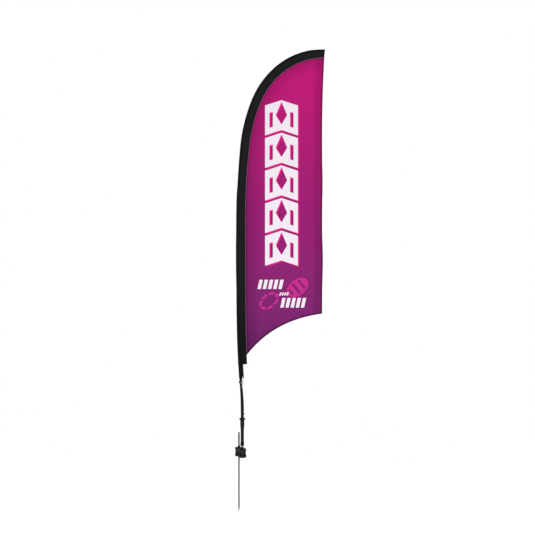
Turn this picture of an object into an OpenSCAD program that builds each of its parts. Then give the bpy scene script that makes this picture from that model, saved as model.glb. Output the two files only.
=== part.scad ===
// Feather-shaped banner on a bowed pole, standing on a swivelling ground spike.
// Millimetres, +Z up. The origin is on the spike's axis where it enters the ground,
// the banner's plane is parallel to XZ and its free edge is towards +X.

/* [Ground spike] */
// Diameter of the steel rod
rod_d = 12; // [10:1:14]
// Rod length above the ground, the part that is stood on or hammered
rod_above = 186; // [120:1:260]
// Rod length below the ground, with its point
rod_below = 446; // [300:1:600]
// Distance between the rod's axis and the swivel's axis
lobe_gap = 56; // [54:0.5:64]
// Direction of the swivel's axis seen from the rod's axis, in degrees
lobe_turn = -60; // [-90:1:0]
// Height of the block's upper flange
block_h = 64; // [62:1:80]
// Radius of the block's flanges
flange_r = 31.5; // [30:0.5:36]

/* [Swivel and base tube] */
// Diameter of the swivel's spindle
spindle_d = 16; // [16:0.5:17]
// Height of the spindle's top end
spindle_top = 226; // [220:1:232]
// Outer diameter of the base tube
tube_d = 25.4; // [25:0.2:26]
// Height of the base tube's lower end
tube_z = 96; // [94:1:100]
// Height of the base tube's upper end
tube_top = 284; // [280:1:285]
// Diameter of the twist collar
collar_d = 46; // [40:1:52]
// Height where the pole leaves its socket
butt_z = 363; // [358:1:368]

/* [Pole] */
// Outer diameter of the lowest pole section
lower_d = 21; // [20.6:0.2:21]
// Diameter of the pole's thicker butt, just above the socket
butt_d = 26; // [24:0.5:28]
// Outer diameter of the second section
mid_d = 18; // [17:0.5:18]
// Outer diameter of the third section
upper_d = 14; // [12:0.5:14]
// Diameter of the solid tip section
tip_d = 10; // [8:0.5:10]
// Length of the pole's bowed line above the socket
bow_len = 3180; // [3150:1:3186]

/* [Banner] */
// Distance from the pole's axis to the seam between pocket and panel
pocket_w = 58; // [50:1:64]
// Thickness of the printed panel
panel_t = 1.2; // [1:0.1:1.6]
// Distance of the free edge from the spike's axis
leech_x = 655; // [600:1:700]
// Height of the lower free corner
clew_z = 1125; // [1100:1:1200]
// Width of the hem along the free edges
hem_w = 14; // [8:1:20]

/* [Hidden] */

// the pole's bow: arcs that follow each other smoothly, each with its length and its turn
bow_arcs = [[160, -4.5], [640, 4.25], [700, 0], [600, 7], [350, 15.3], [300, 25.6], [440, 44.8]];
lower_end = 800;                     // where the pole sections meet, along the bow
mid_end = 1640;
upper_end = 2450;
ferrule_half = 20;                   // half a ferrule's length
ferrule_gap = 0.4;
sleeve_start = 364;                  // where the pocket begins, along the bow
strap_start = 257;
clip_s = 224;                        // middle of the tension clip, along the bow

flag_x = lobe_gap * cos(lobe_turn);
flag_y = lobe_gap * sin(lobe_turn);
rod_r = rod_d / 2;
rod_point = 40;
rod_collar_r = 9;
waist_spike_r = 23;
waist_swivel_r = 20.5;
lower_flange = 14;
upper_flange = 12;
boss_top = 75;
boss_r = 15.5;
spindle_r = spindle_d / 2;
race_r = 14;                         // outer radius of the ball bearings
ball_r = 1.5;
ball_ring_r = 11.15;
bearing_h = 7;
bearing_z = [10, 60];                // undersides of the two bearings
balls = 9;
cover_r = 22;
cover_screw_r = 18.5;
tube_r = tube_d / 2;
tube_in = 10.7;
neck_r = 12.2;
socket_r = 16;
pole_gap = 0.1;
lower_r = lower_d / 2;
butt_r = butt_d / 2;
taper_end = 197;                     // where the butt's taper reaches the straight part, along the bow
mid_r = mid_d / 2;
upper_r = upper_d / 2;
tip_r = tip_d / 2;
pole_wall = 2;
button_z = 341;
button_r = 5;
button_out = 17;                     // how far the button's dome stands from the pole's axis
rivet_z = 272;
hook_turn = -40;                     // side of the pole where the hook hangs, in degrees
hook_r = 15;                         // distance of the hook's inner face from the pole's axis
hook_t = 3;
peg_z = 585.2;
eye_z = 610;
eyelet_s = 271.5;
eyelet_off = 17;
cord_r = 1.4;
// the elastic loop's route from the eyelet's middle to the hook and back, before and after the hook's eye
loop_down = [[0, 0, 0], [0, -2.8, -1.4], [0, -4.2, -5], [0.3, -8, -12]];
loop_up = [[-3.2, -4.5, -18.8], [-1.8, 1.5, -17.2], [-0.6, 4.6, -12.5], [0, 4.2, -5], [0, 2.8, -1.4]];
// its places at the hook's eye: distance out from the hook's inner face, and height over the ground plate
loop_eye = [[4.8, 617.5], [4.8, 611.6], [4, 610.1], [-0.9, 610.1], [-1.8, 611.5], [-1.8, 614]];

// ---- the pole's bowed line ----
function arc_start(i) = i == 0 ? 0 : arc_start(i - 1) + bow_arcs[i - 1][0];
function arc_lean(i) = i == 0 ? 0 : arc_lean(i - 1) + bow_arcs[i - 1][1];
function arc_foot(i) = i == 0 ? [0, 0] : arc_point(i - 1, bow_arcs[i - 1][0]);
function arc_rate(i) = bow_arcs[i][1] / bow_arcs[i][0];
function arc_r(i) = 180 / (PI * arc_rate(i));
function arc_point(i, d) =
    let (a = arc_lean(i), b = a + arc_rate(i) * d)
    bow_arcs[i][1] == 0
        ? arc_foot(i) + d * [sin(a), cos(a)]
        : arc_foot(i) + arc_r(i) * [cos(a) - cos(b), sin(b) - sin(a)];
function arc_at(s, i = 0) =
    i == len(bow_arcs) - 1 || s < arc_start(i + 1) ? i : arc_at(s, i + 1);
function lean(s) = s <= 0 ? 0 : let (i = arc_at(s)) arc_lean(i) + arc_rate(i) * (s - arc_start(i));
function bow(s) = s <= 0 ? [0, s] : let (i = arc_at(s)) arc_point(i, s - arc_start(i));
// a point beside the bowed line, on the banner's side when off is positive
function beside(s, off) = bow(s) + off * [cos(lean(s)), -sin(lean(s))];

// moves the bow's frame to its place in the object's frame
module in_bow() {
    translate([flag_x, flag_y, butt_z]) children();
}

function stations(s0, s1, n) = [for (i = [0:n]) s0 + (s1 - s0) * i / n];
function round_loop(r, n) = [for (j = [0:n - 1]) r * [cos(360 * (j + 0.5) / n), sin(360 * (j + 0.5) / n)]];
// a section's points set square to the bow at s; the section's x is towards the banner
function on_section(s, loop) = [for (q = loop) let (p = beside(s, q[0])) [p[0], -q[1], p[1]]];

// a body swept along the bow: outer and inner give the section's two loops at each station,
// with the same number of points; without inner the body is solid
module swept(stops, outer, inner = undef) {
    hollow = !is_undef(inner);
    n = len(outer(stops[0]));
    row = hollow ? 2 * n : n;
    points = [for (s = stops) each concat(on_section(s, outer(s)), hollow ? on_section(s, inner(s)) : [])];
    last = row * (len(stops) - 1);
    walls = [for (i = [0:len(stops) - 2]) for (j = [0:n - 1])
        let (a = row * i + j, b = row * i + (j + 1) % n) each concat(
            [[a, b, b + row], [a, b + row, a + row]],
            hollow ? [[b + n, a + n, b + n + row], [a + n, a + n + row, b + n + row]] : [])];
    ends = hollow
        ? [for (j = [0:n - 1]) let (k = (j + 1) % n) each [
            [k, j, j + n], [k, j + n, k + n],
            [last + j, last + k, last + k + n], [last + j, last + k + n, last + j + n]]]
        : [[for (j = [n - 1:-1:0]) j], [for (j = [0:n - 1]) last + j]];
    in_bow() polyhedron(points, concat(walls, ends), convexity = 6);
}

// a straight piece whose axis follows the bow at s
module at_bow(s) {
    p = bow(s);
    in_bow() translate([p[0], 0, p[1]]) rotate([0, lean(s), 0]) children();
}

module ring(outer, inner, h, z = 0) {
    translate([0, 0, z]) difference() {
        cylinder(h, r = outer, $fn = 64);
        translate([0, 0, -1]) cylinder(h + 2, r = inner, $fn = 64);
    }
}

module at_swivel() {
    translate([flag_x, flag_y, 0]) children();
}

// ---- ground spike ----
module spike_rod() {
    color("silver") union() {
        translate([0, 0, rod_point - rod_below])
            cylinder(rod_below + rod_above - rod_point - 1.5, r = rod_r, $fn = 48);
        translate([0, 0, rod_above - 1.5]) cylinder(1.5, r1 = rod_r, r2 = rod_r - 1.5, $fn = 48);
        translate([0, 0, -rod_below]) cylinder(rod_point, r1 = 0.6, r2 = rod_r, $fn = 48);
        translate([0, 0, 1]) cylinder(6, r = rod_collar_r, $fn = 48);
    }
}

module lobe(r, waist) {
    rib_t = 3;
    cylinder(lower_flange, r = r, $fn = 72);
    translate([0, 0, block_h - upper_flange]) cylinder(upper_flange, r = r, $fn = 72);
    cylinder(block_h, r = waist, $fn = 72);
    for (a = [0:45:315])
        rotate([0, 0, a + 10]) translate([waist - 1, -rib_t / 2, lower_flange - 1])
            cube([r - waist - 2.5, rib_t, block_h - lower_flange - upper_flange + 2]);
}

module spike_block() {
    web_w = 30;
    color([0.07, 0.07, 0.09]) difference() {
        union() {
            lobe(flange_r, waist_spike_r);
            translate([0, 0, block_h - 1]) cylinder(17, r1 = 12, r2 = 9, $fn = 48);
            at_swivel() {
                lobe(flange_r + 0.5, waist_swivel_r);
                translate([0, 0, block_h]) cylinder(boss_top - block_h, r1 = 27, r2 = boss_r, $fn = 72);
            }
            rotate([0, 0, lobe_turn]) translate([0, -web_w / 2, 0]) cube([lobe_gap, web_w, block_h]);
        }
        translate([0, 0, -1]) cylinder(100, r = rod_r + 0.1, $fn = 48);
        translate([0, 0, -1]) cylinder(8.2, r = rod_collar_r + 0.3, $fn = 48);
        at_swivel() {
            translate([0, 0, -1]) cylinder(boss_top + 2, r = 12.6, $fn = 64);
            translate([0, 0, -1]) cylinder(bearing_z[0] + bearing_h + 1, r = race_r + 0.05, $fn = 64);
            translate([0, 0, bearing_z[1]]) cylinder(20, r = race_r + 0.05, $fn = 64);
            translate([0, 0, -1]) cylinder(4.6, r = cover_r + 0.2, $fn = 64);
            for (a = [30, 150, 270])
                rotate([0, 0, a]) translate([cover_screw_r, 0, -1]) cylinder(13, r = 1.6, $fn = 24);
        }
        translate([-40, 0, 33]) rotate([0, 90, 0]) cylinder(38, r = 4.1, $fn = 32);
    }
}

module clamp_screw() {
    color("dimgray") translate([-rod_r - 0.2 - 14, 0, 33]) rotate([0, 90, 0]) difference() {
        cylinder(14, r = 4, $fn = 32);
        translate([0, 0, -1]) cylinder(6, r = 2.3, $fn = 6);
    }
}

module bearing_cover() {
    color([0.1, 0.1, 0.11]) at_swivel() difference() {
        translate([0, 0, 0.8]) cylinder(2.8, r = cover_r, $fn = 64);
        cylinder(5, r = 8, $fn = 48);
        for (a = [30, 150, 270]) rotate([0, 0, a]) translate([cover_screw_r, 0, 0]) {
            cylinder(5, r = 1.7, $fn = 24);
            cylinder(2, r = 3, $fn = 24);
        }
    }
}

module cover_screws() {
    color("silver") at_swivel() for (a = [30, 150, 270])
        rotate([0, 0, a]) translate([cover_screw_r, 0, 0.9]) difference() {
            union() {
                cylinder(1.1, r = 2.8, $fn = 24);
                translate([0, 0, 1]) cylinder(9.6, r = 1.5, $fn = 24);
            }
            translate([-2, -0.35, -1]) cube([4, 0.7, 1.5]);
        }
}

module bearing_outer_rings() {
    color("silver") at_swivel() for (z = bearing_z) translate([0, 0, z])
        rotate_extrude($fn = 96) difference() {
            translate([12, 0]) square([race_r - 12, bearing_h]);
            translate([ball_ring_r, bearing_h / 2]) circle(ball_r + 0.1, $fn = 32);
        }
}

module bearing_inner_rings() {
    color("silver") at_swivel() for (z = bearing_z) translate([0, 0, z])
        rotate_extrude($fn = 96) difference() {
            translate([spindle_r + 0.04, 0]) square([10.3 - spindle_r - 0.04, bearing_h]);
            translate([ball_ring_r, bearing_h / 2]) circle(ball_r + 0.1, $fn = 32);
        }
}

module bearing_balls() {
    color("white") at_swivel() for (z = bearing_z) for (i = [0:balls - 1])
        rotate([0, 0, 360 * i / balls]) translate([ball_ring_r, 0, z + bearing_h / 2])
            sphere(ball_r, $fn = 24);
}

module shaft_seal() {
    color([0.05, 0.05, 0.05]) at_swivel() ring(race_r, spindle_r + 0.3, 2.2, boss_top - 2.7);
}

// ---- swivel ----
module spindle() {
    color("silver") at_swivel() difference() {
        union() {
            translate([0, 0, 5]) cylinder(spindle_top - 7, r = spindle_r, $fn = 64);
            translate([0, 0, spindle_top - 2]) cylinder(2, r1 = spindle_r, r2 = spindle_r - 2, $fn = 64);
            translate([0, 0, bearing_z[1] + bearing_h + 0.05]) cylinder(4.4, r = 9.6, $fn = 64);
        }
        ring(spindle_r + 1, spindle_r - 0.8, 1.3, 7);
    }
}

module bearing_spacer() {
    low = bearing_z[0] + bearing_h + 0.05;
    color("gainsboro") at_swivel() ring(10, spindle_r + 0.05, bearing_z[1] - low - 0.05, low);
}

module retaining_clip() {
    color("gray") at_swivel() difference() {
        ring(10.2, spindle_r - 0.7, 1.1, 7.1);
        translate([0, -2, 6]) cube([12, 4, 4]);
    }
}

// ---- base tube ----
module base_tube() {
    color([0.05, 0.05, 0.06]) at_swivel() difference() {
        ring(tube_r, tube_in, tube_top - tube_z, tube_z);
        rivet_holes();
    }
}

module rivet_holes() {
    translate([0, 0, rivet_z]) rotate([90, 0, 0]) cylinder(60, r = 2.05, center = true, $fn = 24);
}

module tube_foot_cap() {
    cap_z = 90;
    cap_r = 14.4;
    cap_top = 118;
    lip = 3;
    color([0.04, 0.04, 0.05]) at_swivel() rotate_extrude($fn = 96) difference() {
        union() {
            translate([0, cap_z + lip]) square([cap_r, cap_top - cap_z - lip - 1.2]);
            translate([0, cap_z]) square([cap_r - lip, cap_top - cap_z]);
            translate([cap_r - lip, cap_z + lip]) circle(lip, $fn = 32);
        }
        square([spindle_r + 0.5, 200]);
        translate([0, tube_z - 0.05]) square([tube_r + 0.05, 60]);
        translate([cap_r - 0.8, 105]) square([2, 2.2]);
    }
}

module lower_bush() {
    color("ivory") at_swivel() ring(tube_in - 0.05, spindle_r + 0.07, 28, tube_z + 1);
}

module upper_bush() {
    color("ivory") at_swivel() ring(tube_in - 0.05, spindle_r + 0.07, 26, 194);
}

module tube_stop() {
    color("ivory") at_swivel() translate([0, 0, spindle_top + 0.3])
        cylinder(12, r = tube_in - 0.05, $fn = 48);
}

module coupling_socket() {
    top = butt_z - 2;
    color([0.06, 0.06, 0.07]) at_swivel() difference() {
        rotate_extrude($fn = 96) polygon([
            [tube_r + 0.05, 220], [tube_r + 0.8, 220], [socket_r, 253], [socket_r, 287],
            [socket_r - 1.5, 288.5], [neck_r, 288.5], [neck_r, top - 1], [neck_r - 0.7, top],
            [lower_r + pole_gap, top], [lower_r + pole_gap, tube_top + 0.2],
            [tube_r + 0.05, tube_top + 0.2]]);
        rivet_holes();
        translate([0, 0, button_z]) rotate([0, 90, 0]) cylinder(30, r = button_r + 0.15, $fn = 32);
    }
}

module socket_rivets() {
    head = 1.2;
    color("silver") at_swivel() for (side = [0, 180])
        rotate([0, 0, side]) translate([0, -socket_r, rivet_z]) rotate([-90, 0, 0]) {
            translate([0, 0, -head]) cylinder(head - 0.05, r1 = 2.6, r2 = 3.8, $fn = 32);
            translate([0, 0, -head / 2]) cylinder(6, r = 2, $fn = 24);
        }
}

module lock_collar() {
    collar_r = collar_d / 2;
    low = 292.5;
    h = 13;
    grips = 12;
    color([0.05, 0.05, 0.06]) at_swivel() difference() {
        rotate_extrude($fn = 96) union() {
            translate([neck_r + 0.08, low]) square([collar_r - neck_r - 3.08, h]);
            translate([collar_r - 6, low + 3]) square([6, h - 6]);
            for (z = [3, h - 3]) translate([collar_r - 3, low + z]) circle(3, $fn = 32);
        }
        for (i = [0:grips - 1])
            rotate([0, 0, 360 * (i + 0.5) / grips]) translate([collar_r + 3.6, 0, low - 1])
                cylinder(h + 2, r = 5, $fn = 32);
    }
}

module snap_button() {
    color("dimgray") at_swivel() translate([0, 0, button_z]) rotate([0, 90, 0]) union() {
        cylinder(button_out - 3, r = button_r, $fn = 48);
        translate([0, 0, button_out - 3]) cylinder(1.6, r1 = button_r, r2 = 4.3, $fn = 48);
        translate([0, 0, button_out - 1.4]) cylinder(1.4, r1 = 4.3, r2 = 2.4, $fn = 48);
        translate([0, 0, 3.8]) cylinder(1.8, r = 6.2, $fn = 48);
    }
}

// a leaf bent into a V that pushes the button outwards
module button_spring() {
    leaf_w = 7;
    color("silver") at_swivel() translate([0, leaf_w / 2, button_z]) rotate([90, 0, 0])
        linear_extrude(leaf_w) polygon([
            [-0.2, 6], [-0.9, 6], [-1.4, -28], [-6.8, 8], [-7.5, 8], [-2.2, -30], [-0.8, -30]]);
}

// ---- pole ----
module pole_section(s0, s1, r, n, sides = 16) {
    swept(stations(s0, s1, n), function (s) round_loop(r, sides),
          function (s) round_loop(r - pole_wall, sides));
}

// the lower section's butt is thicker and tapers to the straight part
function butt_taper(s) = lower_r + (butt_r - lower_r) * min(1, max(0, (taper_end - s) / (taper_end - 10)));

module lower_pole() {
    color([0.06, 0.06, 0.06]) union() {
        difference() {
            pole_section(tube_top + 1 - butt_z, lower_end - 1, lower_r, 14, 24);
            at_swivel() translate([0, 0, button_z]) rotate([0, 90, 0])
                cylinder(30, r = button_r + 0.15, $fn = 32);
        }
        swept([1, 10, taper_end], function (s) round_loop(butt_taper(s), 24),
              function (s) round_loop(lower_r - pole_wall / 2, 24));
    }
}

module mid_pole() {
    color([0.06, 0.06, 0.06]) pole_section(lower_end, mid_end - 1, mid_r, 12);
}

module upper_pole() {
    color([0.06, 0.06, 0.06]) pole_section(mid_end, upper_end - 1, upper_r, 18);
}

module tip_pole() {
    color([0.07, 0.07, 0.07]) swept(stations(upper_end, bow_len - 12, 28), function (s) round_loop(tip_r, 12));
}

// a stepped tube that joins a thicker section below to a thinner one above
module ferrule(s, below, above) {
    at_bow(s) {
        ring(below + ferrule_gap + 0.7, below + ferrule_gap, ferrule_half, -ferrule_half);
        ring(below + ferrule_gap + 0.7, above + ferrule_gap, ferrule_half);
    }
}

module lower_ferrule() {
    color("silver") ferrule(lower_end, lower_r, mid_r);
}

module middle_ferrule() {
    color("silver") ferrule(mid_end, mid_r, upper_r);
}

module upper_ferrule() {
    color("silver") ferrule(upper_end, upper_r, tip_r);
}

module tip_cap() {
    cap_s = bow_len - 12;
    color([0.1, 0.1, 0.1]) at_bow(cap_s) {
        ring(tip_r + 2, tip_r + 0.3, 12.2, -12);
        translate([0, 0, 0.2]) cylinder(5, r1 = tip_r + 2, r2 = tip_r, $fn = 48);
    }
}

// ---- banner ----
function seam_off(s) = s < 2900 ? pocket_w : pocket_w - 5 * (s - 2900) / (bow_len - 2900);

// a pocket's section: the outer loop has a flat doubled web out to w, the inner loop is round
sleeve_sides = 12;
web_t = 2.4;
function loop_angle(j) = 15 + 360 * (j - 0.5) / sleeve_sides;
function outer_loop(r, w) = [for (j = [0:sleeve_sides - 1])
    j == 0 ? [w, web_t / 2]
    : j == sleeve_sides - 1 ? [w, -web_t / 2]
    : r * [cos(loop_angle(j)), sin(loop_angle(j))]];
function inner_loop(r) = [for (j = [0:sleeve_sides - 1]) r * [cos(loop_angle(j)), sin(loop_angle(j))]];
function sleeve_bore(s) = s < lower_end + 70 ? 12.6 : s < mid_end + 70 ? 11.1 : 9.1;

module pole_sleeve() {
    color([0.11, 0.13, 0.13]) swept(
        stations(sleeve_start, bow_len - 3, 60),
        function (s) outer_loop(sleeve_bore(s) + 1.1, seam_off(s)),
        function (s) inner_loop(sleeve_bore(s)));
}

module sleeve_end_tape() {
    color([0.09, 0.1, 0.1]) at_bow(bow_len - 2.5) translate([-11, -5, 0])
        cube([seam_off(bow_len) + 11, 10, 2.5]);
}

module tack_strap() {
    color([0.05, 0.05, 0.05]) difference() {
        swept(stations(strap_start, sleeve_start - 0.4, 4),
              function (s) outer_loop(lower_r + 2, 23), function (s) inner_loop(lower_r + 0.5));
        at_bow(eyelet_s) translate([eyelet_off, 0, 0]) {
            rotate([90, 0, 0]) cylinder(20, r = 3.9, center = true, $fn = 32);
            // flat ground for the eyelet and the loop, on both faces
            for (y = [-9, 1.28]) translate([-6.6, y, -18]) cube([30, 7.72, 25]);
        }
    }
}

module strap_eyelet() {
    color("silver") at_bow(eyelet_s) translate([eyelet_off, 0, 0]) rotate([90, 0, 0])
        rotate_extrude($fn = 64) union() {
            translate([3, -1.75]) square([0.8, 3.5]);
            for (z = [-1.75, 1.3]) translate([3, z]) square([2.8, 0.45]);
        }
}

// the free edge's place at a height, flared a little towards its top
flare_z = 2500;
flare = 21;
head_z = 3140;
function leech(z) = leech_x + flare * pow(max(0, z - flare_z) / (head_z - flare_z), 2);
// the concave foot, from the pocket to the free corner, as a curve with one control point
foot_tack = [60, 797];
foot_mid = [272, 1076];
function foot(t, up = 0) =
    let (b = [leech(clew_z), clew_z],
         p = (1 - t) * (1 - t) * foot_tack + 2 * t * (1 - t) * foot_mid + t * t * b,
         d = (1 - t) * (foot_mid - foot_tack) + t * (b - foot_mid))
    p + up / norm(d) * [-d[1], d[0]];

// a flat drawing in the object's own X and Z, t thick
module in_banner(t) {
    translate([0, flag_y, 0]) rotate([90, 0, 0]) translate([0, 0, -t / 2])
        linear_extrude(t) children();
}

function seam_point(s) = beside(s, seam_off(s) + 0.3) + [flag_x, butt_z];
// where the panel's lower corner meets both hems
function panel_corner() =
    let (q = foot(1, hem_w + 0.2), d = [leech(clew_z), clew_z] - foot_mid, x = leech_x - hem_w - 0.2)
    [x, q[1] + (x - q[0]) * d[1] / d[0]];
foot_steps = 24;
seam_steps = 80;
leech_steps = 25;
panel_start = 468;                   // where the panel's foot meets the pocket, along the bow

module flag_panel() {
    color([0.62, 0.1, 0.44]) in_banner(panel_t) polygon(concat(
        [for (s = stations(panel_start, bow_len - 8, seam_steps)) seam_point(s)],
        [for (z = [head_z - 8:-80:clew_z + 40]) [leech(z) - hem_w - 0.2, z]],
        [panel_corner()],
        [for (i = [foot_steps - 1:-1:1]) foot(i / foot_steps, hem_w + 0.2)]));
}

module leech_hem() {
    color([0.45, 0.08, 0.35]) in_banner(panel_t * 2) polygon(concat(
        [for (z = stations(clew_z, head_z - 10, leech_steps)) [leech(z), z]],
        [for (z = stations(head_z - 10, clew_z, leech_steps)) [leech(z) - hem_w, z]]));
}

module foot_hem() {
    color([0.36, 0.1, 0.36]) in_banner(panel_t * 2) intersection() {
        polygon(concat(
            [for (i = [1:foot_steps]) foot(i / foot_steps)],
            [for (i = [foot_steps:-1:1]) foot(i / foot_steps, hem_w)]));
        square([leech_x - hem_w - 0.3, head_z]);
    }
}

// ---- tension fittings ----
module tension_clip() {
    h = 14;
    color([0.35, 0.36, 0.37]) union() {
        at_bow(clip_s) difference() {
            union() {
                ring(13.4, lower_r + pole_gap, h, -h / 2);
                rotate([0, 0, 135]) translate([12, -4.5, -h / 2]) cube([9, 9, h]);
            }
            rotate([0, 0, 135]) translate([8, -0.8, -h]) cube([20, 1.6, 2 * h]);
            rotate([0, 0, 135]) translate([17, 0, 0]) rotate([90, 0, 0])
                cylinder(20, r = 1.6, center = true, $fn = 24);
        }
        in_hook() translate([-3.5, 0, peg_z]) rotate([0, 90, 0]) cylinder(7.5, r = 2, $fn = 32);
    }
}

module clip_screw() {
    color("silver") at_bow(clip_s) rotate([0, 0, 135]) translate([17, 0, 0]) rotate([90, 0, 0]) {
        translate([0, 0, -8]) cylinder(14, r = 1.5, $fn = 24);
        translate([0, 0, 4.6]) cylinder(2.2, r = 2.8, $fn = 32);
        translate([0, 0, -7]) cylinder(2.4, r = 3, $fn = 6);
    }
}

// the hook's own frame: x away from the pole, y across, z up, origin on its inner face
module in_hook() {
    p = bow(clip_s);
    translate([flag_x + p[0], flag_y, 0]) rotate([0, 0, hook_turn]) translate([hook_r, 0, 0]) children();
}

module bungee_hook() {
    color([0.75, 0.75, 0.76]) in_hook() rotate([90, 0, 90]) linear_extrude(hook_t) difference() {
        union() {
            translate([-6, 578]) square([12, 32]);
            translate([0, 578]) circle(6, $fn = 32);
            translate([0, 610]) circle(6, $fn = 32);
            translate([-3, 546]) square([6, 30]);
            translate([0, 546]) circle(3, $fn = 24);
        }
        translate([-2.8, peg_z + 0.6]) square([5.6, 17]);
        translate([0, peg_z + 0.6]) circle(2.8, $fn = 32);
        translate([-8, 593]) square([6, 7]);
        translate([0, eye_z]) circle(2.6, $fn = 32);
        translate([0, 549]) circle(1.2, $fn = 24);
    }
}

// a closed tube along points, as one polyhedron
module closed_tube(points, r, sides) {
    n = len(points);
    function at(i) = points[(i + n) % n];
    function way(i) = let (d = at(i + 1) - at(i - 1)) d / norm(d);
    function side_a(i) = let (c = cross(way(i), [1, 0, 0])) c / norm(c);
    rings = [for (i = [0:n - 1]) for (j = [0:sides - 1])
        let (a = side_a(i), b = cross(way(i), a), t = 360 * j / sides)
        at(i) + r * (cos(t) * a + sin(t) * b)];
    polyhedron(rings, [for (i = [0:n - 1]) for (j = [0:sides - 1])
        let (k = (i + 1) % n, m = (j + 1) % sides)
        [i * sides + j, i * sides + m, k * sides + m, k * sides + j]], convexity = 4);
}

// a point by the hook's eye, measured from the eyelet's middle
function by_hook(out, z) =
    let (p = bow(clip_s), e = beside(eyelet_s, eyelet_off), r = hook_r + out)
    [p[0] + r * cos(hook_turn) - e[0], r * sin(hook_turn), z - butt_z - e[1]];

module bungee_loop() {
    e = beside(eyelet_s, eyelet_off);
    color("white") translate([flag_x + e[0], flag_y, butt_z + e[1]])
        closed_tube(concat(loop_down, [for (q = loop_eye) by_hook(q[0], q[1])], loop_up), cord_r, 8);
}

spike_rod();
spike_block();
clamp_screw();
bearing_cover();
cover_screws();
bearing_outer_rings();
shaft_seal();
spindle();
bearing_inner_rings();
bearing_balls();
bearing_spacer();
retaining_clip();
base_tube();
tube_foot_cap();
lower_bush();
upper_bush();
tube_stop();
coupling_socket();
socket_rivets();
lock_collar();
snap_button();
button_spring();
lower_pole();
lower_ferrule();
mid_pole();
middle_ferrule();
upper_pole();
upper_ferrule();
tip_pole();
tip_cap();
pole_sleeve();
sleeve_end_tape();
flag_panel();
leech_hem();
foot_hem();
tack_strap();
strap_eyelet();
tension_clip();
clip_screw();
bungee_loop();
bungee_hook();
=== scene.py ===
import math

import bpy
from mathutils import Matrix, Vector


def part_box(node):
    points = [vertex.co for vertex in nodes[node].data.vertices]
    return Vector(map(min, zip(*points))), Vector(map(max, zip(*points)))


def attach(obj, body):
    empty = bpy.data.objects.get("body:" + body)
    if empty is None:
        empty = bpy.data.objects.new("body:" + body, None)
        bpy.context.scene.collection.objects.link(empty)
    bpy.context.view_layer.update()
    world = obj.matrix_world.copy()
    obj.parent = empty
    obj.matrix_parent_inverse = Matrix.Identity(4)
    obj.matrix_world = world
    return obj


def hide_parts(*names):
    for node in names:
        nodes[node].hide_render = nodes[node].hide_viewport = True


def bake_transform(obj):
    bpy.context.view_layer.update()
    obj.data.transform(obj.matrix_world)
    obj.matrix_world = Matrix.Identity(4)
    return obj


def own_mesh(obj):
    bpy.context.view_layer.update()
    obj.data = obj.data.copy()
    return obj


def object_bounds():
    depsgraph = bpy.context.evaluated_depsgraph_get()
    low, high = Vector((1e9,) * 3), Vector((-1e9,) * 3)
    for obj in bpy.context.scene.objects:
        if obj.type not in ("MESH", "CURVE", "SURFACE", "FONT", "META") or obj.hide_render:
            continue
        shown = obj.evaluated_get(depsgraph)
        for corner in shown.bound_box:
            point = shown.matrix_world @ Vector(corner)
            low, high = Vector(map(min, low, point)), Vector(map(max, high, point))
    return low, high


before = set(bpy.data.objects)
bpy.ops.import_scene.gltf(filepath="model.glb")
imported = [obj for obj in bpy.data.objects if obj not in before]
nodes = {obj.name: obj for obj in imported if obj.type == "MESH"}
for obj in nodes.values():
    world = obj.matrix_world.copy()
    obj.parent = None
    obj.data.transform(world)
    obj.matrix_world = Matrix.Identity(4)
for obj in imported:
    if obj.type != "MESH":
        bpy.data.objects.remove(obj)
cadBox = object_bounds()
mm = 0.001

# the pole's bowed line, in mm and degrees: length and turn of each arc, and how far the cloth follows it
pole = {
    "arcs": [(160, -4.5), (640, 4.25), (700, 0), (600, 7), (350, 15.3), (300, 25.6), (440, 44.8)],
    "length": 3180,
}
tubeLow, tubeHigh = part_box("base_tube")
axisX, axisY = (tubeLow.x + tubeHigh.x) / 2, (tubeLow.y + tubeHigh.y) / 2
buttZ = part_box("coupling_socket")[1].z + 2 * mm


def bowPoint(s):  # the pole's line s mm up from its butt: x and z in metres, and its lean
    x, z, lean, left = axisX, buttZ, 0.0, s
    if s <= 0:
        return x, z + s * mm, lean
    for length, turn in pole["arcs"]:
        step = min(left, length)
        rate = math.radians(turn) / length
        after = lean + rate * step
        if turn == 0:
            x += step * math.sin(lean) * mm
            z += step * math.cos(lean) * mm
        else:
            x += (math.cos(lean) - math.cos(after)) / rate * mm
            z += (math.sin(after) - math.sin(lean)) / rate * mm
        lean = after
        left -= step
        if left <= 0:
            break
    return x, z, lean


def beside(s, off, out=0.0):  # a point off mm to the banner's side of the pole's line, out mm to the back
    x, z, lean = bowPoint(s)
    return Vector((x + off * math.cos(lean) * mm, axisY + out * mm, z - off * math.sin(lean) * mm))


def ease(t):  # 0 to 1 with a soft start and end
    t = min(max(t, 0.0), 1.0)
    return t * t * (3 - 2 * t)


def mix(a, b, t):
    return a + (b - a) * t


# camera, floor and light

studio = {
    "camera": (0.2258, -6.30, 1.4879), "lens": 53.6, "sensor": 36,
    "roomSeen": 1.0, "roomLight": 0.34,
    # where each sun stands, its strength and its softness in degrees
    "keySun": ((-0.5, -0.72, 0.56), 2.5, 26), "backSun": ((0.62, 0.66, 0.5), 0.8, 40),
    "floorMiddle": 0.2, "floorBack": 1.6, "floorFront": -9.0, "floorHalf": 7.0, "floorBelow": 0.001,
}


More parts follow.
